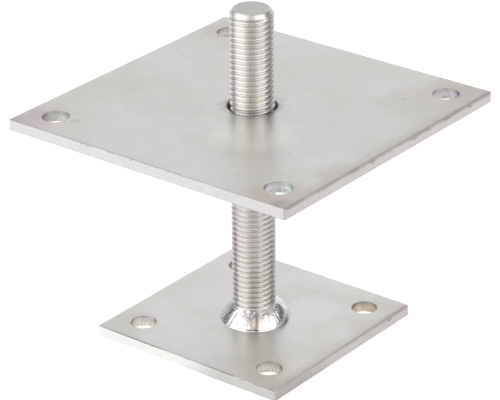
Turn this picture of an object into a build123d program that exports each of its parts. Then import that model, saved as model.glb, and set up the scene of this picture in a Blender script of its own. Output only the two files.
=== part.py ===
from build123d import *

import math
import os

# Height-adjustable column base. A threaded rod is welded upright on a small square base plate.
# A larger square top plate drops over the rod and rests on a hexagon nut, which sets its height.
# The origin is the centre of the base plate's underside, and +Z runs up the rod.
# Lengths are in millimetres and angles in degrees.

# Base plate, sheared from flat steel
base_side = 100.0
base_thickness = 5.0
base_hole_diameter = 11.0
base_hole_inset = 14.5

# Top plate, sheared from flat steel, and the height of its underside above the ground
top_side = 150.0
top_thickness = 5.0
top_hole_diameter = 11.0
top_hole_inset = 14.5
top_underside_height = 103.2

# What shearing leaves on a plate's outline
edge_rollover = 0.5
corner_rounding = 0.6

# What a punch leaves in a hole: a drawn-in rim where it enters, a flare where it breaks out
drawn_rim_width = 0.3
breakout_depth = 1.6
breakout_flare = 0.15

# Rod, with a metric coarse thread along its whole length, measured over the thread's crests
rod_crest_diameter = 19.7
rod_length = 148.5
rod_end_chamfer = 2.45
rod_clearance_in_top_plate = 1.15

# Weld bead round the foot of the rod: its two legs, and its steep toe, rounded over into the slope
weld_leg_along_plate = 6.25
weld_leg_up_rod = 7.8
weld_toe_height = 1.6
weld_toe_lean = 0.3
weld_toe_rounding = 3.0

# Hexagon nut under the top plate
nut_across_flats = 30.0
nut_height = 16.0
nut_thread_clearance = 0.05
nut_bearing_diameter = 28.5
nut_corner_angle = 30.0
nut_countersink = 0.9

# Sizes that follow from those above
rod_radius = rod_crest_diameter / 2
top_centre_hole_radius = rod_radius + rod_clearance_in_top_plate
nut_underside_height = top_underside_height - nut_height
nut_bore_radius = rod_radius + nut_thread_clearance
nut_corner_radius = nut_across_flats / 2 / math.cos(math.pi / 6)


def punch_holes(blank, thickness, centres, radius):
    """Punch round holes down through a blank, with a drawn-in rim above and a flared breakout below."""
    with BuildPart() as plate:
        add(blank)
        with Locations(*centres):
            Cylinder(radius, 3 * thickness, mode=Mode.SUBTRACT)
        chamfer(rims(plate.faces().sort_by(Axis.Z)[-1], radius), drawn_rim_width)
        lower_face = plate.faces().sort_by(Axis.Z)[0]
        chamfer(rims(lower_face, radius), breakout_flare, breakout_depth, reference=lower_face)
    return plate.part


def rims(shape, radius):
    """The circular edges of one radius on a face or a solid."""
    circles = shape.edges().filter_by(GeomType.CIRCLE)
    return circles.filter_by(lambda edge: math.isclose(edge.radius, radius, rel_tol=1e-6))


def sheared_square(side, thickness):
    """A square blank whose upper edges the shear has rolled over, standing on z = 0."""
    with BuildPart() as blank:
        with BuildSketch():
            RectangleRounded(side, side, corner_rounding)
        extrude(amount=thickness)
        upper_edges = blank.faces().sort_by(Axis.Z)[-1].edges()
        fillet(upper_edges, edge_rollover)
    return blank.part


def corner_hole_centres(side, inset):
    """Where the four corner holes of a square plate are, an equal inset from both edges."""
    reach = side / 2 - inset
    return [(x, y) for x in (-reach, reach) for y in (-reach, reach)]


def make_base_plate():
    """The lower plate, with four anchor holes. The rod stands on it, so it has no centre hole."""
    blank = sheared_square(base_side, base_thickness)
    corners = corner_hole_centres(base_side, base_hole_inset)
    return punch_holes(blank, base_thickness, corners, base_hole_diameter / 2)


def make_top_plate():
    """The upper plate, with four screw holes and a centre hole that clears the rod."""
    blank = sheared_square(top_side, top_thickness)
    corners = corner_hole_centres(top_side, top_hole_inset)
    plate = punch_holes(blank, top_thickness, corners, top_hole_diameter / 2)
    plate = punch_holes(plate, top_thickness, [(0, 0)], top_centre_hole_radius)
    return Pos(0, 0, top_underside_height) * plate


def make_threaded_rod():
    """The rod over its thread's crests, chamfered at its free end and standing on the base plate."""
    with BuildPart() as rod:
        with Locations((0, 0, base_thickness)):
            Cylinder(rod_radius, rod_length, align=(Align.CENTER, Align.CENTER, Align.MIN))
        free_end = rod.faces().sort_by(Axis.Z)[-1]
        chamfer(free_end.edges(), rod_end_chamfer)
    return rod.part


def make_weld_fillet():
    """The bead between base plate and rod: a steep toe that rounds over into a slope up the rod."""
    toe_foot = Vector(rod_radius + weld_leg_along_plate, base_thickness)
    toe_top = toe_foot + Vector(-weld_toe_lean, weld_toe_height)
    slope_top = Vector(rod_radius, base_thickness + weld_leg_up_rod)
    root = Vector(rod_radius, base_thickness)
    with BuildPart() as bead:
        with BuildSketch(Plane.XZ):
            with BuildLine():
                Polyline(root, toe_foot, toe_top, slope_top, close=True)
            profile = make_face()
            toe_corner = profile.vertices().sort_by_distance(toe_top)[0]
            fillet(toe_corner, weld_toe_rounding)
        revolve(axis=Axis.Z)
    return bead.part


def make_adjusting_nut():
    """A hexagon nut with both ends turned down at its corners, a plain bore and countersunk mouths."""
    corner_drop = (nut_corner_radius - nut_bearing_diameter / 2) * math.tan(math.radians(nut_corner_angle))
    with BuildPart() as nut:
        with BuildSketch():
            RegularPolygon(nut_across_flats / 2, 6, major_radius=False)
        extrude(amount=nut_height)
        with BuildSketch(Plane.XZ):
            with BuildLine():
                Polyline(
                    (0, 0),
                    (nut_bearing_diameter / 2, 0),
                    (nut_corner_radius, corner_drop),
                    (nut_corner_radius, nut_height - corner_drop),
                    (nut_bearing_diameter / 2, nut_height),
                    (0, nut_height),
                    close=True,
                )
            make_face()
        revolve(axis=Axis.Z, mode=Mode.INTERSECT)
        Cylinder(nut_bore_radius, 3 * nut_height, mode=Mode.SUBTRACT)
        chamfer(rims(nut.part, nut_bore_radius), nut_countersink)
    return Pos(0, 0, nut_underside_height) * nut.part


pieces = {
    "base_plate": make_base_plate(),
    "threaded_rod": make_threaded_rod(),
    "weld_fillet": make_weld_fillet(),
    "top_plate": make_top_plate(),
    "adjusting_nut": make_adjusting_nut(),
}

os.makedirs("parts", exist_ok=True)
for name, piece in pieces.items():
    piece.label = name
    export_step(piece, f"parts/{name}.step")
    print(name, round(piece.volume, 1), "cubic mm")
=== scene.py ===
import math

import bpy
import numpy as np
from mathutils import Matrix, Vector, geometry, noise


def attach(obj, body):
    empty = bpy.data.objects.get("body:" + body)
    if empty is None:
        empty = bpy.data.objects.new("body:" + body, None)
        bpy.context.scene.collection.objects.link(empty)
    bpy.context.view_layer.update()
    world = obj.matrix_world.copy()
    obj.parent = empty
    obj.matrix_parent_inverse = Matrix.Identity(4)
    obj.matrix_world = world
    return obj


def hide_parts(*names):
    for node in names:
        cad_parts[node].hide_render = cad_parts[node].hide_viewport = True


# Height-adjustable column base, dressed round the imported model. Metres, in the model's own frame.
# Lengths given to the makers below are in millimetres, because the model's sizes are.
MM = 0.001
FULL_TURN = 2 * math.pi

# Level directions in the model's frame: to the photograph's right, and out of it towards the viewer
RIGHT = (0.786, 0.618, 0.0)
NEAR = (0.618, -0.786, 0.0)

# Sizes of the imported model, and heights in it above the ground
TOP_SIDE = 150.0
BASE_SIDE = 100.0
THICKNESS = 5.0
HOLE_INSET = 14.5
BASE_FACE = 5.0
NUT_UNDERSIDE = 87.2
TOP_UNDERSIDE = 103.2
TOP_FACE = 108.2
ROD_END = 153.5

# The corners of the plates as they look, in plan
CORNER_ROUNDING = 1.0

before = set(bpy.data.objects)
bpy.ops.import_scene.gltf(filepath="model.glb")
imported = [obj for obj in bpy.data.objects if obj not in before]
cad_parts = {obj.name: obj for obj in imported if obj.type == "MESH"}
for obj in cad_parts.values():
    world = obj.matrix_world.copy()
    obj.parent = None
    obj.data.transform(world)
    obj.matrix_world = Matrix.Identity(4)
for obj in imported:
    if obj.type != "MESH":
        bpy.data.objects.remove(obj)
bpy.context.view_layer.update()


# Camera

def make_camera():
    """The photograph's view: azimuth, elevation and roll in degrees, round a point on the rod."""
    azimuth, elevation, roll = (math.radians(angle) for angle in (38.185, 25.158, -0.579))
    target = Vector((0, 0, 0.070))
    distance = 1.2026
    back = Vector((math.sin(azimuth) * math.cos(elevation), -math.cos(azimuth) * math.cos(elevation),
                   math.sin(elevation)))
    level_right = Vector((math.cos(azimuth), math.sin(azimuth), 0))
    level_up = back.cross(level_right)
    right = math.cos(roll) * level_right + math.sin(roll) * level_up
    up = -math.sin(roll) * level_right + math.cos(roll) * level_up
    lens = bpy.data.cameras.new("photo_view")
    lens.sensor_fit = "HORIZONTAL"
    lens.sensor_width = 36
    lens.lens = 196.234
    lens.shift_x = -0.00637
    lens.shift_y = -0.03119
    lens.clip_start = 0.05
    lens.clip_end = 60
    camera = bpy.data.objects.new("photo_view", lens)
    bpy.context.scene.collection.objects.link(camera)
    camera.matrix_world = Matrix((right, up, back)).transposed().to_4x4()
    camera.location = target + back * distance
    bpy.context.scene.camera = camera


# Materials

class Graph:
    """A node tree with a short call for each kind of node that the materials use."""

    def __init__(self, tree):
        self.tree = tree
        self.tree.nodes.clear()

    def add(self, kind, inputs=(), **settings):
        node = self.tree.nodes.new(kind)
        for name, value in settings.items():
            setattr(node, name, value)
        for name, value in dict(inputs).items():
            self.feed(node.inputs[name], value)
        return node

    def feed(self, socket, value):
        if isinstance(value, bpy.types.NodeSocket):
            self.tree.links.new(value, socket)
        elif value is not None:
            socket.default_value = value

    def maths(self, operation, a, b=None, c=None, clamp=False):
        return self.add("ShaderNodeMath", {0: a, 1: b, 2: c}, operation=operation, use_clamp=clamp).outputs[0]

    def vector(self, operation, a, b=None, result="Vector"):
        return self.add("ShaderNodeVectorMath", {0: a, 1: b}, operation=operation).outputs[result]

    def smooth(self, value, low, high, to_low=0.0, to_high=1.0):
        """A smooth step from to_low, where value is low, to to_high, where it is high."""
        inputs = {"Value": value, "From Min": low, "From Max": high, "To Min": to_low, "To Max": to_high}
        return self.add("ShaderNodeMapRange", inputs, interpolation_type="SMOOTHSTEP").outputs[0]

    def mix(self, share, a, b, how="MIX"):
        node = self.add("ShaderNodeMix", data_type="RGBA", blend_type=how)
        for index, value in ((0, share), (6, a), (7, b)):
            if isinstance(value, tuple) and len(value) == 3:
                value = (*value, 1.0)
            self.feed(node.inputs[index], value)
        return node.outputs[2]

    def over(self, colour, tint, where, share):
        """The colour with a tint laid over it, where a value from 0 to 1 says, as strongly as share."""
        return self.mix(self.maths("MULTIPLY", where, share), colour, tint)


def scaled(values, factor):
    """A colour or a direction times a factor."""
    return tuple(factor * value for value in values)


class Metal(Graph):
    """A metal material. Places in it are millimetres in the model's frame at rest, whatever the pose."""

    def __init__(self, name):
        self.material = bpy.data.materials.new(name)
        self.material.use_nodes = True
        super().__init__(self.material.node_tree)
        place = self.add("ShaderNodeTexCoord").outputs["Object"]
        self.place = self.vector("MULTIPLY", place, (1000, 1000, 1000))
        self.surface = self.add("ShaderNodeBsdfPrincipled")
        self.add("ShaderNodeOutputMaterial", {"Surface": self.surface.outputs[0]})
        self.bumps = None

    def noise(self, size, detail=2.0, roughness=0.5, distortion=0.0, stretch=(1, 1, 1), turn=0.0, shift=0.0):
        """Noise whose patches are about size millimetres, drawn out by stretch along the turned axes."""
        scale = tuple(1 / (size * s) for s in stretch)
        mapped = self.add("ShaderNodeMapping", {"Vector": self.place, "Rotation": (0, 0, math.radians(-turn)),
                                                "Location": (shift, 2 * shift, 3 * shift)}).outputs[0]
        inputs = {"Vector": self.vector("MULTIPLY", mapped, scale), "Scale": 1.0, "Detail": detail,
                  "Roughness": roughness, "Distortion": distortion}
        return self.add("ShaderNodeTexNoise", inputs).outputs["Fac"]

    def zone(self, name):
        """A value that the mesh carries at its points."""
        return self.add("ShaderNodeAttribute", attribute_name=name).outputs["Fac"]

    def blob(self, centre, reach, ragged, ragged_size=6.0, shift=0.0, place=None):
        """1 at centre, falling to 0 about reach away, with a ragged border."""
        away = self.vector("DISTANCE", place or self.place, centre, "Value")
        wobble = self.noise(ragged_size, 3.0, 0.6, shift=shift + 3.1)
        edge = self.maths("MULTIPLY_ADD", wobble, 2 * ragged, self.maths("SUBTRACT", away, ragged))
        return self.smooth(edge, reach, 0.35 * reach)

    def line(self, points, width, shift=0.0, place=None):
        """1 on a thin line through the points, falling to 0 about width away, with an uneven border."""
        place = place or self.place
        nearest = None
        for start, end in zip(points, points[1:]):
            run = Vector(end) - Vector(start)
            away = self.vector("SUBTRACT", place, tuple(start))
            share = self.vector("DOT_PRODUCT", away, tuple(run / run.length_squared), "Value")
            inputs = {0: tuple(run), "Scale": self.maths("MULTIPLY", share, 1.0, clamp=True)}
            foot = self.add("ShaderNodeVectorMath", inputs, operation="SCALE").outputs[0]
            apart = self.vector("DISTANCE", away, foot, "Value")
            nearest = apart if nearest is None else self.maths("MINIMUM", nearest, apart)
        wobble = self.noise(1.4, 3.0, 0.6, shift=shift + 2.7)
        edge = self.maths("MULTIPLY_ADD", wobble, 1.6 * width, self.maths("SUBTRACT", nearest, 0.8 * width))
        return self.smooth(edge, width, 0.2 * width)

    def streaks(self, size, stretch, turn, low, high, shift):
        """Long thin lines: 1 on a line and 0 between lines."""
        return self.smooth(self.noise(size, 2.0, 0.6, 0.0, stretch, turn, shift), low, high)

    def bump(self, height, strength, depth):
        """Lay a relief, depth millimetres high, over those laid before."""
        inputs = {"Height": height, "Strength": strength, "Distance": depth * MM, "Normal": self.bumps}
        self.bumps = self.add("ShaderNodeBump", inputs).outputs[0]

    def finish(self, colour, roughness):
        self.surface.inputs["Metallic"].default_value = 1.0
        self.feed(self.surface.inputs["Base Color"], colour)
        self.feed(self.surface.inputs["Roughness"], roughness)
        self.feed(self.surface.inputs["Normal"], self.bumps)
        return self.material


def plate_metal(name, tints, smudges, marks, scratches, dull_walls, plain, warm, cut_left, cut_right, wall,
                shift):
    """Satin zinc plating on sheared plate: clouded greys, tints, smudges, scratches and bright cut edges,
    with painted shade on the rolled edges, hole rims and nicks.

    Each tint or smudge is a centre, a reach, a raggedness, a colour and a share; some tints are painted
    light.
    Each mark is points, a width, a colour and a share; the wide marks along the +X edges are painted shade.
    Each scratch is a size, a stretch, a turn, two levels and a share. Each dull wall is a place in a hole
    and a colour to multiply by. plain and warm are the face's two greys, cut_left the colour of the sides
    that face along Y, cut_right of those along X, and wall that of the holes; a much lighter cut_left is
    painted light. shift moves the noise."""
    metal = Metal(name)
    cloud = metal.noise(34, 3.0, 0.55, 0.6, shift=shift)
    patch = metal.noise(9, 4.0, 0.6, 0.8, shift=shift + 5)
    grain = metal.noise(0.9, 3.0, 0.7, shift=shift + 9)
    colour = metal.mix(metal.smooth(cloud, 0.38, 0.66), plain, warm)
    colour = metal.mix(metal.smooth(patch, 0.45, 0.75, 0.0, 0.35), colour, scaled(plain, 0.88))
    for index, (centre, reach, ragged, tint, share) in enumerate(tints):
        blob = metal.blob(centre, reach, ragged, shift=shift + 11 * index)
        colour = metal.over(colour, tint, blob, share)
    for index, (centre, reach, ragged, tint, share) in enumerate(smudges):
        blob = metal.blob(centre, reach, ragged, 1.6, shift=shift + 40 + 7 * index)
        colour = metal.over(colour, tint, blob, share)
    for index, (points, width, tint, share) in enumerate(marks):
        colour = metal.over(colour, tint, metal.line(points, width, shift + 5 * index), share)
    colour = metal.mix(metal.smooth(grain, 0.3, 0.7, 0.0, 0.10), colour, scaled(plain, 0.72))
    roughness = metal.maths("MULTIPLY_ADD", cloud, 0.08, 0.26)
    roughness = metal.maths("MULTIPLY_ADD", patch, 0.08, roughness)
    metal.bump(metal.noise(22, 2.0, 0.5, shift=shift + 21), 1.0, 0.05)
    metal.bump(metal.noise(2.4, 3.0, 0.6, shift=shift + 25), 1.0, 0.012)
    metal.bump(grain, 1.0, 0.004)
    for size, stretch, turn, low, high, dark in scratches:
        line = metal.streaks(size, stretch, turn, low, high, shift + turn)
        colour = metal.over(colour, scaled(plain, 0.6), line, dark)
        metal.bump(line, 0.6, -0.008)
    cut, edge, wall_zone = (metal.zone(zone) for zone in ("cut", "edge", "wall"))
    drag = metal.noise(0.8, 3.0, 0.6, stretch=(1, 1, 2.2), shift=shift + 31)
    tear = metal.noise(1.1, 3.0, 0.7, shift=shift + 33)
    cast = metal.noise(11, 2.0, 0.5, shift=shift + 37)
    # Painted light: where cut_left is much lighter than cut_right, the sides along Y are lit and those along
    # X shaded in colour
    cut_colour = metal.mix(metal.zone("cropped"), cut_left, cut_right)
    cut_colour = metal.mix(metal.smooth(cast, 0.40, 0.62, 0.0, 0.30), cut_colour, scaled(cut_left, 0.93))
    cut_colour = metal.mix(metal.smooth(drag, 0.35, 0.75, 0.0, 0.22), cut_colour, (0.58, 0.575, 0.56))
    cut_colour = metal.mix(metal.smooth(tear, 0.60, 0.78, 0.0, 0.35), cut_colour, (0.42, 0.41, 0.40))
    colour = metal.mix(cut, colour, cut_colour)
    speckle = metal.mix(metal.smooth(tear, 0.42, 0.62), wall, scaled(wall, 0.50))
    smooth_wall = metal.mix(metal.smooth(patch, 0.45, 0.70), wall, scaled(wall, 0.78))
    colour = metal.mix(wall_zone, colour, smooth_wall)
    colour = metal.mix(metal.zone("torn"), colour, speckle)
    for index, (centre, tint) in enumerate(dull_walls):
        here = metal.maths("MULTIPLY", metal.blob(centre, 13, 0.5, shift=shift + index), wall_zone)
        colour = metal.mix(here, colour, tint, "MULTIPLY")
    # The rim zone is painted shade: a dark line along the rolled edges and round the holes' rims, darker at
    # the corner holes' left and right; it also darkens a line just above the lower edge
    rim = metal.maths("MULTIPLY", metal.zone("rim"), metal.smooth(cast, 0.35, 0.62, 0.25, 0.75))
    colour = metal.mix(rim, colour, (0.26, 0.235, 0.235))
    # Painted shade: the nicks in the rolled edge are painted almost black
    colour = metal.over(colour, (0.07, 0.07, 0.068), metal.zone("nick"), 0.65)
    roughness = metal.mix(cut, roughness, metal.maths("MULTIPLY_ADD", drag, 0.3, 0.34))
    roughness = metal.mix(edge, roughness, (0.62, 0.62, 0.62))
    metal.bump(metal.maths("MULTIPLY", drag, cut), 1.0, 0.02)
    return metal.finish(colour, roughness)


def rod_metal():
    """Bright zinc on a rolled thread, with painted shade down in its grooves, over its lower left and on its
    far right.
    """
    metal = Metal("rod_zinc")
    groove = metal.zone("groove")
    drift = metal.noise(14, 3.0, 0.6, shift=3)
    along = metal.noise(0.7, 3.0, 0.6, stretch=(1, 1, 0.5), shift=8)
    fine = metal.noise(0.25, 2.0, 0.6, shift=12)
    colour = metal.mix(metal.smooth(drift, 0.35, 0.7), (0.88, 0.87, 0.845), (0.83, 0.81, 0.775))
    colour = metal.mix(metal.smooth(along, 0.55, 0.8, 0.0, 0.12), colour, (0.62, 0.60, 0.56))
    height = metal.add("ShaderNodeSeparateXYZ", {0: metal.place}).outputs["Z"]
    left, right, front = (metal.vector("DOT_PRODUCT", metal.place, side, "Value")
                          for side in (scaled(RIGHT, -1), RIGHT, NEAR))
    # Painted shade down in the thread's grooves, strongest on the right and lower down
    dull = metal.maths("ADD", right, metal.smooth(height, 100, 50, 0.0, 2.2))
    groove_shade = metal.maths("MULTIPLY", metal.smooth(groove, 0.35, 0.95), metal.smooth(dull, 5.0, 7.2, 0.12, 0.75))
    colour = metal.mix(groove_shade, colour, (0.38, 0.37, 0.345))
    # Painted shade over the lower part of the rod's left side
    lower_left_shade = metal.maths("MULTIPLY", metal.smooth(left, -1, 4.5), metal.smooth(height, 100, 50, 0.0, 0.24))
    colour = metal.mix(lower_left_shade, colour, (0.62, 0.60, 0.56))
    # Painted shade on the rod's far right edge
    colour = metal.mix(metal.smooth(right, 8.3, 9.5, 0.0, 0.45), colour, (0.52, 0.52, 0.505))
    stain = metal.maths("MULTIPLY", metal.smooth(front, 8.2, 9.0), metal.smooth(groove, 0.2, 0.8))
    stain = metal.maths("MULTIPLY", stain, metal.smooth(height, 46, 22, 0.30, 0.55))
    colour = metal.mix(stain, colour, (0.32, 0.315, 0.29))
    nose = metal.smooth(height, 150.9, 151.4)
    colour = metal.mix(nose, colour, (0.79, 0.785, 0.77))
    end = metal.zone("end")
    colour = metal.over(colour, (0.67, 0.675, 0.665), end, 0.8)
    soft = metal.maths("MULTIPLY", metal.smooth(left, 0.5, 3.0), metal.smooth(left, 7.6, 6.4))
    roughness = metal.maths("MULTIPLY_ADD", along, 0.10, metal.maths("MULTIPLY_ADD", soft, 0.10, 0.20))
    roughness = metal.maths("MULTIPLY_ADD", nose, 0.10, roughness)
    roughness = metal.maths("MULTIPLY_ADD", end, 0.2, roughness)
    metal.bump(along, 1.0, 0.006)
    metal.bump(fine, 1.0, 0.0015)
    return metal.finish(colour, roughness)


# How far a radian round the bead counts as, so that a place on it is a distance round and a height
WELD_ARC = 12.0


def weld_metal():
    """Plated weld bead: chrome bright, with fine ripples, pinholes, a burnt patch, a bluish heat tint that is
    partly painted light, and a painted shadow at its toe.
    """
    metal = Metal("weld_zinc")
    lump = metal.noise(2.6, 3.0, 0.6, 0.4, shift=4)
    speck = metal.noise(0.8, 3.0, 0.65, shift=9)
    ripple = metal.noise(0.5, 2.0, 0.5, 0.3, stretch=(1, 1, 2), shift=14)
    colour = metal.mix(metal.smooth(lump, 0.4, 0.7), (0.92, 0.92, 0.91), (0.80, 0.80, 0.80))
    colour = metal.mix(metal.smooth(speck, 0.58, 0.68, 0.0, 0.75), colour, (0.34, 0.32, 0.31))
    # Partly a real bluish heat tint, partly painted light that brightens the bead's rear right
    colour = metal.over(colour, (0.92, 0.94, 1.0), metal.blob((9, 11, 9), 11, 2.0, shift=1), 0.9)
    colour = metal.over(colour, (0.50, 0.52, 0.60), metal.blob((-11, -6, 11), 7, 2.0, shift=7), 0.6)
    axes = metal.add("ShaderNodeSeparateXYZ", {0: metal.place}).outputs
    arc = metal.maths("MULTIPLY", metal.maths("ARCTAN2", axes["Y"], axes["X"]), WELD_ARC)
    wrapped = metal.add("ShaderNodeCombineXYZ", {"X": arc, "Y": axes["Z"]}).outputs[0]

    def on_bead(degrees, height):
        """A place on the wrapped bead, by its angle from +X and its height above the ground."""
        return WELD_ARC * math.radians(degrees), height, 0.0

    burnt = metal.blob(on_bead(-54, 8.4), 4.3, 0.9, 2.0, 3, wrapped)
    colour = metal.over(colour, (0.50, 0.415, 0.355), burnt, 0.75)
    bands = metal.noise(1.1, 2.0, 0.6, 0.5, stretch=(2.2, 2.2, 0.7), shift=21)
    sooty = metal.maths("MULTIPLY", metal.blob(on_bead(-56, 11.6), 4.2, 0.8, 2.0, 6, wrapped),
                        metal.smooth(bands, 0.37, 0.50))
    colour = metal.over(colour, (0.24, 0.23, 0.22), sooty, 0.75)
    # Dark lines: places on the bead, a width, a colour, a share, and whether specks break the line up
    for spots, width, dark, share, broken in (
        # The first dark line is a painted shadow under the front of the bead's toe
        (((-63, 5.6), (-54, 5.7), (-44, 5.6)), 0.40, (0.08, 0.07, 0.065), 0.85, False),
        (((-35, 10.6), (-24, 10.9), (-12, 9.8)), 0.40, (0.36, 0.35, 0.34), 0.8, False),
        (((-107, 12.0), (-114, 9.0), (-120, 5.4)), 2.1, (0.24, 0.24, 0.25), 0.8, True),
        (((-5, 12.8), (3, 9.4), (8, 5.6)), 1.9, (0.24, 0.24, 0.25), 0.8, True),
    ):
        line = metal.line([on_bead(*spot) for spot in spots], width, spots[0][0], wrapped)
        if broken:
            line = metal.maths("MULTIPLY", line, metal.smooth(speck, 0.44, 0.56))
        colour = metal.over(colour, dark, line, share)
    roughness = metal.maths("MULTIPLY_ADD", lump, 0.14, 0.10)
    roughness = metal.maths("MULTIPLY_ADD", metal.smooth(speck, 0.55, 0.7), 0.2, roughness)
    metal.bump(lump, 1.0, 0.16)
    metal.bump(speck, 1.0, 0.05)
    metal.bump(ripple, 1.0, 0.02)
    return metal.finish(colour, roughness)


def nut_metal():
    """Zinc-plated nut: satin and lightly clouded, darker down in its thread."""
    metal = Metal("nut_zinc")
    cloud = metal.noise(12, 3.0, 0.6, 0.4, shift=2)
    fine = metal.noise(0.6, 3.0, 0.6, stretch=(1, 1, 3), shift=6)
    colour = metal.mix(metal.smooth(cloud, 0.35, 0.7), (0.70, 0.70, 0.68), (0.62, 0.61, 0.585))
    colour = metal.over(colour, (0.40, 0.39, 0.37), metal.zone("groove"), 0.5)
    roughness = metal.maths("MULTIPLY_ADD", fine, 0.14, 0.24)
    metal.bump(cloud, 1.0, 0.05)
    metal.bump(fine, 1.0, 0.008)
    return metal.finish(colour, roughness)


# Meshes

def wave(x, y=0.0, z=0.0):
    """Smooth noise from -1 to 1, the same on every run."""
    return noise.noise(Vector((x, y, z)))


def make_piece(node, surface, material, body, sharp):
    """A mesh object from a surface, dressed and put on its body in place of its CAD node.

    Faces that meet at more than sharp degrees keep a hard edge."""
    name = node + "_skin"
    mesh = bpy.data.meshes.new(name)
    mesh.from_pydata([tuple(MM * c for c in point) for point in surface.points], [], surface.faces)
    mesh.validate()
    for zone, values in surface.zones.items():
        mesh.attributes.new(zone, "FLOAT", "POINT").data.foreach_set("value", np.asarray(values, np.float32))
    mesh.polygons.foreach_set("use_smooth", [True] * len(mesh.polygons))
    mesh.set_sharp_from_angle(angle=math.radians(sharp))
    mesh.materials.append(material)
    piece = bpy.data.objects.new(name, mesh)
    bpy.context.scene.collection.objects.link(piece)
    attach(piece, body)
    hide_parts(node)


class Surface:
    """Points, faces and zone values of a mesh while it is being made."""

    def __init__(self, *zones):
        self.points, self.faces = [], []
        self.zones = {zone: [] for zone in zones}

    def point(self, x, y, z, **zones):
        self.points.append((float(x), float(y), float(z)))
        for zone, values in self.zones.items():
            values.append(zones.get(zone, 0.0))
        return len(self.points) - 1

    def polar(self, radius, angle, z, **zones):
        """A point by its radius and angle round the rod's axis."""
        return self.point(radius * math.cos(angle), radius * math.sin(angle), z, **zones)

    def band(self, upper, lower):
        """Quads between two closed rows of points that run counterclockwise, facing outward."""
        count = len(upper)
        for i in range(count):
            j = (i + 1) % count
            self.faces.append((upper[i], lower[i], lower[j], upper[j]))


def square_outline(side, rounding, step):
    """Points, outward directions and distances along a square with rounded corners, counterclockwise.

    The run starts at the middle of the +X side."""
    half = side / 2
    rows = []
    for quarter in range(4):
        turn = quarter * math.pi / 2
        flat = half - rounding
        count = round(flat / step)
        local = [((half, flat * i / count), 0.0) for i in range(count)]
        bends = 10
        for i in range(bends):
            angle = math.pi / 2 * i / bends
            local.append(((flat + rounding * math.cos(angle), flat + rounding * math.sin(angle)), angle))
        local += [((flat - flat * i / count, half), math.pi / 2) for i in range(count)]
        for (x, y), angle in local:
            rows.append((x * math.cos(turn) - y * math.sin(turn), x * math.sin(turn) + y * math.cos(turn),
                         math.cos(angle + turn), math.sin(angle + turn)))
    table = np.array(rows)
    steps = np.hypot(*(np.roll(table[:, :2], -1, 0) - table[:, :2]).T)
    return table[:, :2], table[:, 2:], np.concatenate([[0], np.cumsum(steps)[:-1]])


def fill_face(surface, outer, holes, height_at, spacing, upward):
    """Triangles between an outer row and the hole rows, over a grid of inner points.

    Each hole is its row of points, its centre and its radius there."""
    points = np.array(surface.points)
    rows = [outer] + [row for row, _, _ in holes]
    ids = [i for row in rows for i in row]
    flat = [Vector((points[i][0], points[i][1])) for i in ids]
    edges, start = [], 0
    for row in rows:
        edges += [(start + i, start + (i + 1) % len(row)) for i in range(len(row))]
        start += len(row)
    reach = max(abs(points[i][0]) for i in outer)
    count = int(2 * reach / spacing)
    margin, just_inside = 0.6 * spacing, 0.9995
    for a in range(1, count):
        for b in range(1, count):
            x = -reach + 2 * reach * a / count
            y = -reach + 2 * reach * b / count
            if max(abs(x), abs(y)) > reach - margin:
                continue
            if any(math.hypot(x - cx, y - cy) < radius + margin for _, (cx, cy), radius in holes):
                continue
            flat.append(Vector((x, y)))
            ids.append(surface.point(x, y, height_at(x, y)))
    inside_rows = 1  # the kind of result that leaves out what lies outside the rows
    made = geometry.delaunay_2d_cdt(flat, edges, [], inside_rows, 1e-7)
    where, triangles, sources = made[0], made[2], made[3]
    for triangle in triangles:
        cx = sum(where[i][0] for i in triangle) / 3
        cy = sum(where[i][1] for i in triangle) / 3
        if any(math.hypot(cx - hx, cy - hy) < radius * just_inside for _, (hx, hy), radius in holes):
            continue
        corner = [ids[sources[i][0]] for i in triangle]
        surface.faces.append(tuple(corner) if upward else tuple(reversed(corner)))


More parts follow.
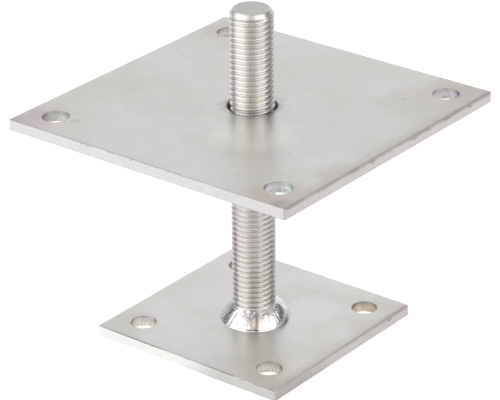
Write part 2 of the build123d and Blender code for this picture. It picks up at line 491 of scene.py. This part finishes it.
def plate(name, side, low, holes, nicks, material, body, seed, left_line, right_line, cropped_roll, flare):
    """A sheared plate: rolled-over upper edges, torn lower edges, punched holes and a slightly uneven face.

    Each hole is x, y and a radius. Each nick is a distance along the outline, a width and a depth. The side
    that faces +X is the cropped one: its edge is rolled over deeper by the share cropped_roll. right_line is
    how dark the painted shade along its edge is, and left_line how dark that along the other sides' edges
    is. flare widens the torn part of the holes, and seed moves the noise."""
    surface = Surface("cut", "cropped", "edge", "rim", "wall", "torn", "nick")
    face = low + THICKNESS
    outline, outward, along = square_outline(side, CORNER_ROUNDING, step=0.6)

    def face_height(x, y):
        return face - 0.05 + 0.05 * wave(x / 30, y / 30, seed)

    def roll_at(distance):
        """How deep the shear rolled the edge over here."""
        depth = 0.48 + 0.16 * wave(distance / 17, seed) + 0.13 * wave(distance / 3.1, seed + 3)
        depth += 0.18 * max(0.0, wave(distance / 1.3, seed + 7))
        for place, width, extra in nicks:
            depth += extra * math.exp(-((distance - place) / width) ** 2)
        return max(0.2, depth)

    def nicked_at(distance):
        """1 in a nick, and 0 away from all of them."""
        return min(1.0, sum(math.exp(-((distance - place) / width) ** 4) for place, width, _ in nicks))

    cropped = np.clip(outward[:, 0], 0, 1)
    roll = np.array([roll_at(distance) for distance in along]) * (1 + cropped_roll * cropped)
    nicked = np.array([nicked_at(distance) for distance in along])
    rows = []

    def add_row(insets, heights, cut, rim=0.0, nick=0.0, edge=0.0):
        """A row round the plate. Insets, heights and rims are one value each, or one for each point."""
        insets, heights, rim = (np.broadcast_to(values, len(outline)) for values in (insets, heights, rim))
        rows.append([
            surface.point(*(outline[i] - outward[i] * insets[i]), heights[i], cut=cut, rim=rim[i],
                          nick=nick * nicked[i], cropped=abs(outward[i][0]), edge=edge * cropped[i])
            for i in range(len(outline))])

    def rough(scale, size, offset):
        return np.array([scale * wave(distance / size, seed + offset) for distance in along])

    # The roll, from where it leaves the face; near a corner there is less room for it
    to_corner = np.abs(outline).min(1) - (side / 2 - CORNER_ROUNDING)
    room = 0.88 * CORNER_ROUNDING + 0.5 * np.maximum(0.0, -to_corner)
    inner = np.minimum(1.3 + roll, room)
    spread = np.minimum(1.1 * roll * (1 - 0.35 * cropped), 0.6 * inner)
    start = outline - outward * inner[:, None]
    plain = np.array([face_height(x, y) for x, y in start])
    add_row(inner, plain, 0.0)
    add_row(0.75 * inner, plain - 0.03 * roll, 0.0)
    for angle in (18, 34, 50, 66, 80):
        drop = 1 - math.cos(math.radians(angle))
        inset = 1 - math.sin(math.radians(angle))
        # Painted shade along the roll: as dark as left_line on most sides, and as right_line on the +X side
        left_rim = left_line if 30 < angle < 70 else 0.0
        right_rim = right_line * min(1, angle / 30)
        add_row(0.02 + spread * inset, plain - 0.10 * roll - 0.95 * roll * drop, min(1.0, angle / 60),
                left_rim * (1 - cropped) + right_rim * cropped,
                0.9 if angle > 70 else 0.0, 0.5 if angle < 30 else 1.5 - angle / 80)

    # The cut side: burnished above and torn below, with its lower edge just broken
    burnish = np.clip(0.45 * THICKNESS + rough(0.5, 6.0, 11) + rough(0.3, 1.7, 12), 1.2, THICKNESS - 0.9)
    torn_from = np.minimum(face - burnish, plain - 1.4 * roll - 0.1)
    foot_line = 0.3 * (1 - 0.7 * cropped)
    add_row(0.03, plain - 1.10 * roll - 0.02, 1.0, 0.0, 0.4, 0.3)
    add_row(0.03, plain - 1.12 * roll - 0.12, 1.0)
    add_row(0.015 + np.abs(rough(0.02, 1.4, 13)), torn_from, 1.0)
    add_row(0.04 + np.abs(rough(0.04, 2.1, 14)), torn_from - 0.35, 1.0)
    add_row(0.03 + np.abs(rough(0.05, 2.6, 15)), low + 0.55 + rough(0.1, 3.0, 16), 1.0)
    add_row(0.02 + np.abs(rough(0.03, 1.9, 17)), low + 0.22 + rough(0.06, 2.2, 18), 1.0, foot_line)
    add_row(0.03 + np.abs(rough(0.02, 2.3, 20)), low + 0.05, 1.0, foot_line)
    add_row(0.10 + np.abs(rough(0.06, 1.9, 19)), low, 0.4)
    add_row(np.minimum(1.2, room), low, 0.0)
    for upper, lower in zip(rows, rows[1:]):
        surface.band(upper, lower)

    # The holes: a drawn-in rim, a burnished wall and a torn breakout
    upper_rings, lower_rings = [], []
    upper_reach, lower_reach = 0.75, 0.80
    for index, (x, y, radius) in enumerate(holes):
        wide = radius > 8
        count = 144 if wide else 96
        angles = np.arange(count) * FULL_TURN / count
        key = seed + 50 + 9 * index
        rings = []

        def ring(extra, heights, cut, rim, wall, rough_by=0.0, rough_size=0.5, torn=0.0):
            """A ring wider than the hole by extra. Corner holes get painted shade at their left and right."""
            heights = np.broadcast_to(heights, count)
            row = []
            for i, angle in enumerate(angles):
                cosine, sine = math.cos(angle), math.sin(angle)
                r = radius + extra * (flare if torn else 1.0)
                if rough_by:
                    place = (radius * cosine / rough_size, radius * sine / rough_size, key + extra)
                    r += rough_by * abs(wave(*place))
                sideways = RIGHT[0] * cosine + RIGHT[1] * sine
                shaded = rim if wide else rim + 0.75 * wall * sideways ** 6
                row.append(surface.point(x + r * cosine, y + r * sine, heights[i], cut=cut, cropped=0.3,
                                         rim=shaded, wall=wall, torn=torn))
            rings.append(row)

        reach = radius + upper_reach
        around = np.array([face_height(x + reach * math.cos(a), y + reach * math.sin(a)) for a in angles])
        draw = np.array([0.32 + 0.10 * wave(2 * math.cos(a), 2 * math.sin(a), key) for a in angles])
        shear = np.array([0.7 * wave(1.7 * math.cos(a), 1.7 * math.sin(a), key + 2)
                          + 0.35 * wave(6 * math.cos(a), 6 * math.sin(a), key + 4) for a in angles])
        # How much wider, the height, how far it counts as cut, as painted shade on the rim and as wall, then
        # its roughness
        ring(upper_reach, around, 0.0, 0.6 if wide else 0.0, 0.0)
        ring(0.42, around - 0.12 * draw, 0.0, 1.2 if wide else 0.4, 0.0)
        ring(0.20, around - 0.40 * draw, 0.3, 2.4 if wide else 1.2, 0.0)
        ring(0.07, around - 0.85 * draw, 0.8, 2.4 if wide else 1.3, 0.4)
        ring(0.03, around - 1.7 * draw, 1.0, 0.35, 1.0, 0.03)
        ring(0.03, low + 0.46 * THICKNESS + shear, 1.0, 0.0, 1.0, 0.04)
        ring(0.14, low + 0.36 * THICKNESS + shear, 1.0, 0.0, 1.0, 0.10, 0.9, 0.8)
        ring(0.26, low + 0.16 * THICKNESS, 1.0, 0.0, 1.0, 0.12, 0.9, 0.8)
        ring(0.35, low + 0.02 * THICKNESS, 1.0, 0.0, 1.0, 0.08, 0.8, 0.6)
        ring(0.45, low, 0.4, 0.0, 0.0)
        ring(lower_reach, low, 0.0, 0.0, 0.0)
        for upper, lower in zip(rings, rings[1:]):
            surface.band(lower, upper)
        upper_rings.append((rings[0], (x, y), radius + upper_reach))
        lower_rings.append((rings[-1], (x, y), radius + lower_reach))

    fill_face(surface, rows[0], upper_rings, face_height, spacing=4.0, upward=True)
    fill_face(surface, rows[-1], lower_rings, lambda x, y: low, spacing=8.0, upward=False)
    make_piece(name, surface, material, body, sharp=50)


# Thread: metric coarse, right-hand, rolled. Its section over one pitch, from one root to the next:
# height from the middle of the crest, and how far in from the crest
PITCH = 2.5
CREST = 9.85
DEPTH = 1.34
SECTION = ((-1.25, DEPTH), (-1.05, 1.31), (-0.93, 1.20), (-0.84, 1.06), (-0.36, 0.277), (-0.26, 0.12),
           (-0.16, 0.03), (-0.05, 0.0), (0.05, 0.0), (0.16, 0.03), (0.26, 0.12), (0.36, 0.277), (0.84, 1.06),
           (0.93, 1.20), (1.05, 1.31))

# How far the thread is turned about the rod, in radians, to start as it does in the photograph
THREAD_TURN = 0.85


def thread_depth(angle, height):
    """How far the thread's surface is in from its crest, at an angle and height."""
    phase = (height - PITCH * (angle + THREAD_TURN) / FULL_TURN) / PITCH
    place = (phase - round(phase)) * PITCH
    knots = SECTION + ((1.25, DEPTH),)
    return float(np.interp(place, [k[0] for k in knots], [k[1] for k in knots]))


def threaded_rod(material):
    """The rod with its true thread. Near the free end the thread fades out into a rounded lead-in."""
    low, high, end_radius = BASE_FACE, ROD_END, 8.0
    # Down from the free end: the rounded nose, the cone below it, and the groove where the thread begins
    nose_rise, nose_length, nose_curve, cone_start = 1.35, 2.0, 0.72, 1.9
    thread_start, thread_fade = 2.1, 0.5
    groove_at, groove_depth, groove_width = 2.35, 0.42, 0.20
    segments, samples = 80, len(SECTION)
    surface = Surface("groove", "end")
    turns = int((high - low) / PITCH) + 4
    grid = np.zeros((segments, turns * samples), int)
    for a in range(segments):
        angle = FULL_TURN * a / segments
        for m in range(grid.shape[1]):
            turn, knot = divmod(m, samples)
            offset, depth = SECTION[knot]
            raw = low - 2 * PITCH + PITCH * (turn + a / segments + THREAD_TURN / FULL_TURN) + offset
            height = min(high, max(low, raw))
            down = high - height
            depth *= min(1.0, max(0.0, (down - thread_start) / thread_fade))
            depth = max(depth, groove_depth * math.exp(-((down - groove_at) / groove_width) ** 2))
            radius = CREST - depth
            radius += 0.010 * wave(angle * 4, raw / 1.1, 5) - 0.015 * abs(wave(angle * 9, raw / PITCH, 8))
            nose = end_radius + nose_rise * (down / nose_length) ** nose_curve + max(0.0, down - cone_start)
            if raw >= high or raw <= low:
                radius = end_radius
            grid[a, m] = surface.polar(min(radius, nose), angle, height,
                                       groove=depth / DEPTH if nose > radius else 0.0)
    for a in range(segments):
        for m in range(grid.shape[1] - 1):
            if a + 1 < segments:
                quad = (grid[a, m], grid[a + 1, m], grid[a + 1, m + 1], grid[a, m + 1])
            elif m + 1 + samples < grid.shape[1]:
                quad = (grid[a, m], grid[0, m + samples], grid[0, m + samples + 1], grid[a, m + 1])
            else:
                continue
            surface.faces.append(tuple(int(i) for i in quad))
    surface = merge(surface)
    cap_ends(surface, low, high, end_radius)
    make_piece("threaded_rod", surface, material, "base", sharp=60)


def merge(surface):
    """A copy of the surface with points at one place joined, and without the faces that vanish."""
    merged, places, lookup = Surface(*surface.zones), {}, []
    for index, point in enumerate(surface.points):
        key = tuple(round(c, 4) for c in point)
        if key not in places:
            here = {zone: values[index] for zone, values in surface.zones.items()}
            places[key] = merged.point(*point, **here)
        lookup.append(places[key])
    for face in surface.faces:
        corners = []
        for index in face:
            if lookup[index] not in corners:
                corners.append(lookup[index])
        if len(corners) > 2:
            merged.faces.append(tuple(corners))
    return merged


def cap_ends(surface, low, high, radius):
    """Rings and a centre point over the rod's two ends. The free end is cut with a faint dish."""
    for height, upward in ((low, False), (high, True)):
        end, dish = (1.0, 0.05) if upward else (0.0, 0.0)
        rim = [i for i, (x, y, z) in enumerate(surface.points)
               if abs(z - height) < 1e-6 and abs(math.hypot(x, y) - radius) < 1e-3]
        rim.sort(key=lambda i: math.atan2(surface.points[i][1], surface.points[i][0]))
        previous = rim
        for share in (0.93, 0.8, 0.6, 0.4, 0.2):
            ring = []
            for i in rim:
                x, y, _ = surface.points[i]
                ring.append(surface.point(x * share, y * share, height - dish * min(1.0, (1 - share) / 0.2),
                                          end=end))
            count = len(rim)
            for i in range(count):
                j = (i + 1) % count
                quad = (previous[i], previous[j], ring[j], ring[i])
                surface.faces.append(quad if upward else tuple(reversed(quad)))
            previous = ring
        centre = surface.point(0.0, 0.0, height - dish, end=end)
        for i, a in enumerate(previous):
            b = previous[(i + 1) % len(previous)]
            surface.faces.append((a, b, centre) if upward else (b, a, centre))


def weld_bead(material):
    """The bead round the rod's foot: almost a straight cone at the photograph's left, full at its right."""
    surface = Surface()
    segments, rings = 220, 26
    rod_side, under_side = 9.6, 9.4
    full_side, cone_side = math.radians(48), math.radians(-56)
    rows = []
    for k in range(rings):
        share = k / (rings - 1)
        row = []
        for a in range(segments):
            angle = FULL_TURN * a / segments
            c, s = math.cos(angle), math.sin(angle)
            right = 0.5 + 0.5 * math.cos(angle - full_side)
            front = max(0.0, math.cos(angle - cone_side))
            crest = 12.0 + 0.9 * right + 0.45 * wave(1.6 * c, 1.6 * s, 2) + 0.25 * wave(5 * c, 5 * s, 4)
            toe = 15.5 + 0.5 * right + 1.1 * front ** 2
            toe = toe + 0.2 * wave(3 * c, 3 * s, 7) + 0.12 * wave(9 * c, 9 * s, 9)
            full = 1.02 + 0.65 * right ** 3 + 0.08 * wave(3 * c, 3 * s, 12)
            slope = math.pi / 2 * share
            out = math.sin(slope) ** (2 / full)
            up = math.cos(slope) ** (2 / full)
            body = math.sin(math.pi * share) ** 0.7
            lump = 0.16 * wave(6 * c, 6 * s, share * 2.5 + 20) + 0.09 * wave(14 * c, 14 * s, share * 6 + 30)
            ripple = 0.03 * math.sin(angle * 50 + 4 * share + 4 * wave(2 * c, 2 * s, 40))
            swell = body * (lump + ripple) * 0.45
            radius = rod_side + (toe - rod_side) * out + swell
            height = BASE_FACE + (crest - BASE_FACE) * up + swell
            row.append(surface.polar(radius, angle, max(BASE_FACE, height)))
        rows.append(row)
    for upper, lower in zip(rows, rows[1:]):
        surface.band(upper, lower)
    under = [surface.polar(under_side, FULL_TURN * a / segments, BASE_FACE) for a in range(segments)]
    surface.band(rows[-1], under)
    surface.band(under, rows[0])
    make_piece("weld_fillet", surface, material, "base", sharp=70)


def hexagon_nut(material):
    """The nut, threaded to run on the rod, with both ends turned down at its corners."""
    low, high = NUT_UNDERSIDE, TOP_UNDERSIDE
    flat, washer_face, mouth, bore, clearance = 15.0, 14.25, 10.75, 8.72, 0.10
    corner = flat / math.cos(math.pi / 6) - 0.25
    bevel = math.tan(math.radians(30))
    segments = 120
    surface = Surface("groove")
    # Rows up the outside, close together over the turned-down corners
    ends = np.concatenate([np.linspace(0, 1.9, 11), [3.2]])
    heights = np.concatenate([low + ends, np.linspace(low + 4.5, high - 4.5, 4), high - ends[::-1]])
    outer = []
    for height in heights:
        row = []
        for a in range(segments):
            angle = FULL_TURN * a / segments
            off = math.radians(math.degrees(angle) % 60 - 30)
            wall = min(flat / math.cos(off), corner)
            cone = washer_face + min(height - low, high - height) / bevel
            radius = min(wall, cone) - 0.02 * (1 + wave(8 * math.cos(angle), 8 * math.sin(angle), height / 3))
            row.append(surface.polar(radius, angle, height))
        outer.append(row)
    for lower, upper in zip(outer, outer[1:]):
        surface.band(upper, lower)
    samples = 10
    count = int(round((high - low) / PITCH * samples))
    inner = []
    for k in range(count + 1):
        height = low + (high - low) * k / count
        row = []
        for a in range(segments):
            angle = FULL_TURN * a / segments
            depth = thread_depth(angle, height)
            thread = max(CREST - depth + clearance, bore)
            sink = mouth - min(height - low, high - height)
            row.append(surface.polar(max(thread, sink), angle, height,
                                     groove=depth / DEPTH if thread > sink else 0.0))
        inner.append(row)
    for lower, upper in zip(inner, inner[1:]):
        surface.band(lower, upper)
    surface.band(inner[-1], outer[-1])
    surface.band(outer[0], inner[0])
    make_piece("adjusting_nut", surface, material, "nut", sharp=32)


# Light and floor

# The azimuth that directions of light are reckoned from, the photograph's own
VIEW_AZIMUTH = 38.2


def from_camera(azimuth, elevation):
    """A direction by its azimuth from the camera's, positive to the right, and its elevation, in degrees."""
    a, e = math.radians(VIEW_AZIMUTH + azimuth), math.radians(elevation)
    return Vector((math.sin(a) * math.cos(e), -math.cos(a) * math.cos(e), math.sin(e)))


def make_world():
    """A pale studio with brighter and dimmer patches, which the metal mirrors. The camera sees it white."""
    world = bpy.data.worlds.new("studio")
    bpy.context.scene.world = world
    world.use_nodes = True
    graph = Graph(world.node_tree)
    direction = graph.add("ShaderNodeTexCoord").outputs["Generated"]
    height = graph.add("ShaderNodeSeparateXYZ", {0: direction}).outputs["Z"]
    level = graph.smooth(height, 0.08, 0.24, 0.58, 0.32)
    # Patches: azimuth and elevation, the angles from there where each begins and is whole, and what it adds
    for azimuth, elevation, wide, narrow, extra in (
        (180, 17, 40, 22, 0.50),
        (0, 26, 30, 12, 0.38),
        (-124, 62, 26, 12, 0.38),
        (108, 62, 18, 8, 0.38),
        (92, 48, 13, 6, 0.32),
        (112, 26, 32, 14, -0.14),
        (155, 36, 22, 8, 0.18),
        (140, 8, 16, 7, 0.42),
        (-135, 30, 30, 12, -0.10),
    ):
        centre = from_camera(azimuth, elevation).normalized()
        near = graph.vector("DOT_PRODUCT", direction, tuple(centre), "Value")
        begins, whole = math.cos(math.radians(wide)), math.cos(math.radians(narrow))
        level = graph.maths("ADD", level, graph.smooth(near, begins, whole, 0.0, extra))
    straight = graph.add("ShaderNodeLightPath").outputs["Is Camera Ray"]
    level = graph.maths("MAXIMUM", level, straight)
    background = graph.add("ShaderNodeBackground", {"Color": (1.0, 0.995, 0.985, 1.0), "Strength": level})
    graph.add("ShaderNodeOutputWorld", {"Surface": background.outputs[0]})


def make_lamp(name, direction, distance, size, power, colour):
    """A square softbox that faces the object. Its size and distance are in metres, and its power in watts."""
    middle = Vector((0, 0, 0.08))
    lamp = bpy.data.lights.new(name, "AREA")
    lamp.shape = "SQUARE"
    lamp.size = size
    lamp.energy = power
    lamp.color = colour
    holder = bpy.data.objects.new(name, lamp)
    bpy.context.scene.collection.objects.link(holder)
    holder.location = middle + direction * distance
    holder.rotation_mode = "QUATERNION"
    holder.rotation_quaternion = (-direction).to_track_quat("-Z", "Y")
    holder.visible_camera = False


def make_floor():
    """A wide white floor. The camera sees it lifted towards white, the metal sees it lifted unevenly as
    painted light, and it keeps the shadow.
    """
    count, radius, drop = 96, 8.0, 0.0002
    grey, lift_for_camera = 0.62, 0.68
    angles = [FULL_TURN * i / count for i in range(count)]
    mesh = bpy.data.meshes.new("floor")
    mesh.from_pydata([(radius * math.cos(a), radius * math.sin(a), -drop) for a in angles], [],
                     [tuple(range(count))])
    floor = bpy.data.objects.new("floor", mesh)
    bpy.context.scene.collection.objects.link(floor)
    material = bpy.data.materials.new("white_floor")
    material.use_nodes = True
    graph = Graph(material.node_tree)
    diffuse = graph.add("ShaderNodeBsdfDiffuse", {"Color": (grey, grey, grey, 1.0)})
    path = graph.add("ShaderNodeLightPath").outputs
    place = graph.add("ShaderNodeTexCoord").outputs["Object"]

    # What the metal mirrors is lifted most at the photograph's left, some at its right, and below the holes
    # Painted light: this glow is seen only by glossy rays, on the metal, and is stronger on some sides than
    # on others
    outward = graph.vector("NORMALIZE", place)
    leftward = graph.vector("DOT_PRODUCT", outward, tuple(from_camera(-90, 0)), "Value")
    gloss = graph.maths("ADD", graph.smooth(leftward, 0.30, 0.75, 0.16, 0.56),
                        graph.smooth(leftward, -0.4, -0.8, 0.0, 0.22))
    across = graph.add("ShaderNodeSeparateXYZ", {0: graph.vector("ABSOLUTE", place)}).outputs
    away = graph.maths("MAXIMUM", across["X"], across["Y"])
    gloss = graph.maths("ADD", gloss, graph.smooth(away, 0.049, 0.045, 0.0, 0.34))
    seen = graph.maths("MULTIPLY", path["Is Glossy Ray"], gloss)
    straight = graph.maths("ADD", path["Is Camera Ray"], path["Is Transmission Ray"], clamp=True)
    seen = graph.maths("MULTIPLY_ADD", straight, lift_for_camera, seen)
    lift = graph.add("ShaderNodeEmission", {"Strength": seen})
    both = graph.add("ShaderNodeAddShader", {0: diffuse.outputs[0], 1: lift.outputs[0]})
    graph.add("ShaderNodeOutputMaterial", {"Surface": both.outputs[0]})
    mesh.materials.append(material)


# The scene

make_camera()
make_world()
make_floor()
make_lamp("key", from_camera(-68, 34), distance=3.0, size=3.6, power=55, colour=(1.0, 0.995, 0.985))
make_lamp("fill", from_camera(53, 37), distance=3.2, size=3.0, power=36, colour=(1.0, 0.955, 0.885))

PINK = (0.70, 0.605, 0.62)
BEIGE = (0.70, 0.64, 0.59)
OLIVE = (0.73, 0.715, 0.645)
MAUVE = (0.66, 0.59, 0.60)
SMUDGE = (0.40, 0.34, 0.42)
GREY = (0.55, 0.54, 0.53)
PALE_GREY = (0.66, 0.65, 0.63)
top, base = TOP_FACE, BASE_FACE

top_tints = (
    ((-75, -52, top), 30, 10, OLIVE, 0.55),
    ((-72, -20, top), 34, 12, OLIVE, 0.40),
    ((-70, 62, top), 26, 8, OLIVE, 0.6),
    ((-72, -72, top), 24, 6, PINK, 0.95),
    ((-67.5, -64.5, top), 8, 3, (0.62, 0.57, 0.62), 0.55),
    ((-75, -75, top), 9, 2, (0.55, 0.53, 0.54), 0.8),
    ((-63, 60, top), 12, 4, PINK, 0.75),
    ((68, 66, top), 30, 9, (0.655, 0.63, 0.595), 0.9),
    ((70, 40, top), 20, 6, (0.68, 0.655, 0.61), 0.85),
    ((74, 22, top), 17, 5, (0.66, 0.635, 0.60), 0.8),
    ((74, -4, top), 18, 5, (0.655, 0.62, 0.59), 0.85),
    ((74, -34, top), 16, 5, (0.67, 0.635, 0.60), 0.8),
    ((62, 74, top), 13, 4, (0.68, 0.64, 0.58), 0.8),
    ((75, 75, top), 9, 3, (0.48, 0.475, 0.44), 0.8),
    ((68, -70, top), 22, 6, BEIGE, 0.95),
    ((75, -75, top), 11, 3, (0.40, 0.35, 0.35), 0.8),
    # Painted light: a lighter patch on the face in front of the rod
    ((21, -26, top), 23, 5, (0.95, 0.955, 0.935), 0.9),
    ((38, -50, top), 18, 7, (0.85, 0.85, 0.815), 0.6),
    ((52, 40, top), 22, 7, (0.685, 0.67, 0.64), 0.75),
    ((55, 5, top), 40, 12, (0.75, 0.755, 0.745), 0.7),
    ((15, 62, top), 34, 12, (0.75, 0.755, 0.735), 0.7),
    ((70, 67, top), 17, 4, (0.61, 0.56, 0.53), 0.85),
    ((53.5, 56.5, top), 9, 2.5, PINK, 0.6),
    ((68.0, 62.5, top), 6, 1.5, MAUVE, 0.7),
)
top_smudges = (
    ((-50.6, -59.2, top), 3.0, 2.0, SMUDGE, 0.25),
    ((49.3, 45.0, top), 1.6, 1.0, GREY, 0.6),
    ((43.8, -31.5, top), 1.8, 1.2, (0.68, 0.68, 0.67), 0.7),
)
top_marks = (
    # Painted shade: a darker band along the +X edge, where the face begins to roll over
    (((73.0, -74, top), (73.0, 74, top)), 4.2, (0.62, 0.60, 0.57), 0.65),
    (((38.1, 51.3, top), (43.1, 49.5, top), (48.3, 43.7, top), (52.9, 41.6, top)), 1.7,
     (0.68, 0.67, 0.65), 0.38),
    (((52.9, 41.6, top), (57.3, 43.6, top), (61.8, 46.3, top)), 1.6, (0.68, 0.67, 0.65), 0.32),
    (((42.5, 54.5, top), (46.1, 56.7, top), (50.4, 59.0, top)), 1.4, (0.67, 0.66, 0.64), 0.45),
    (((58.6, 2.4, top), (62.0, 4.9, top)), 0.7, GREY, 0.4),
    (((37.4, -62.0, top), (41.4, -59.1, top)), 0.45, PALE_GREY, 0.6),
    (((45.7, -56.6, top), (47.0, -55.6, top)), 0.5, PALE_GREY, 0.6),
    (((67.6, -75, 105.5), (71.1, -75, 106.5)), 0.5, (0.40, 0.39, 0.38), 0.7),
    (((24.0, -75, 105.2), (25.2, -75, 105.6)), 0.5, (0.45, 0.44, 0.43), 0.6),
)
base_tints = (
    ((46, 45, base), 15, 4, (0.73, 0.71, 0.67), 0.8),
    ((50, 22, base), 14, 4, (0.75, 0.725, 0.69), 0.8),
    ((50, -4, base), 14, 4, (0.77, 0.75, 0.71), 0.8),
    ((-29, 3, base), 16, 5, (0.825, 0.83, 0.885), 0.5),
    ((19, 20, base), 17, 5, (0.88, 0.89, 0.95), 0.7),
    # Painted light: a lighter patch on the face in front of the rod and weld
    ((17, -23, base), 17, 4, (0.93, 0.92, 0.89), 0.85),
    ((42, -42, base), 30, 8, (0.87, 0.85, 0.785), 0.85),
    ((-44, -44, base), 22, 6, (0.71, 0.695, 0.645), 0.8),
)
base_marks = (
    # Painted shade: a darker band along the +X edge, where the face begins to roll over
    (((48.0, -49, base), (48.0, 49, base)), 4.0, (0.68, 0.66, 0.63), 0.55),
    (((45.2, 0.4, base), (46.8, 1.4, base)), 0.6, GREY, 0.5),
)
scratches = (
    (0.5, (60, 1, 1), 24, 0.72, 0.80, 0.30),
    (0.6, (45, 1, 1), 78, 0.73, 0.80, 0.25),
    (0.8, (38, 1, 1), -41, 0.74, 0.82, 0.25),
)
top_dull_walls = (((-60.5, -60.5, 106), (0.84, 0.82, 0.78)), ((60.5, 60.5, 106), (0.96, 0.945, 1.0)))
base_dull_walls = (((-35.5, -35.5, 2.5), (0.83, 0.83, 0.80)), ((35.5, 35.5, 2.5), (0.83, 0.76, 0.69)),
                   ((-35.5, 35.5, 2.5), (0.85, 0.82, 0.76)))

# Holes: x, y and radius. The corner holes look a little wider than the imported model's
corners = ((-1, -1), (1, -1), (1, 1), (-1, 1))
top_reach = TOP_SIDE / 2 - HOLE_INSET
base_reach = BASE_SIDE / 2 - HOLE_INSET
top_holes = [(top_reach * a, top_reach * b, 5.75) for a, b in corners] + [(0, 0, 11.0)]
base_holes = [(base_reach * a, base_reach * b, 5.55) for a, b in corners]

top_nicks = (
    (27.1, 2.1, 0.04), (41.5, 2.8, 0.05), (57.8, 1.7, 0.04), (14.7, 2.2, 0.03), (585.0, 1.5, 0.03),
    (419, 0.7, 0.2), (442.7, 0.7, 0.2), (462.7, 0.6, 0.2), (499.9, 0.7, 0.2), (583.3, 0.7, 0.2),
    (376, 0.7, 0.2),
)
base_nicks = ((35.0, 1.5, 0.2), (330, 1.2, 0.3))

top_metal = plate_metal(
    "top_plate_zinc", top_tints, top_smudges, top_marks, scratches, top_dull_walls, plain=(0.79, 0.795, 0.80),
    warm=(0.755, 0.76, 0.735), cut_left=(0.75, 0.745, 0.75), cut_right=(0.765, 0.74, 0.735),
    wall=(0.80, 0.82, 0.815), shift=0.0)
# Painted light: the base plate's sides along Y are much lighter than those along X, which also have a real
# warmer tint
base_metal = plate_metal(
    "base_plate_zinc", base_tints, (), base_marks, scratches[:2], base_dull_walls, plain=(0.835, 0.84, 0.845),
    warm=(0.80, 0.80, 0.775), cut_left=(0.90, 0.895, 0.885), cut_right=(0.76, 0.735, 0.71),
    wall=(0.88, 0.85, 0.78), shift=60.0)
plate("top_plate", TOP_SIDE, TOP_UNDERSIDE, top_holes, top_nicks, top_metal, "head", seed=3.3,
      left_line=0.55, right_line=0.40, cropped_roll=1.6, flare=1.5)
plate("base_plate", BASE_SIDE, 0.0, base_holes, base_nicks, base_metal, "base", seed=8.6,
      left_line=1.6, right_line=0.30, cropped_roll=1.1, flare=0.2)
threaded_rod(rod_metal())
weld_bead(weld_metal())
hexagon_nut(nut_metal())

view = bpy.context.scene.view_settings
view.view_transform = "Standard"
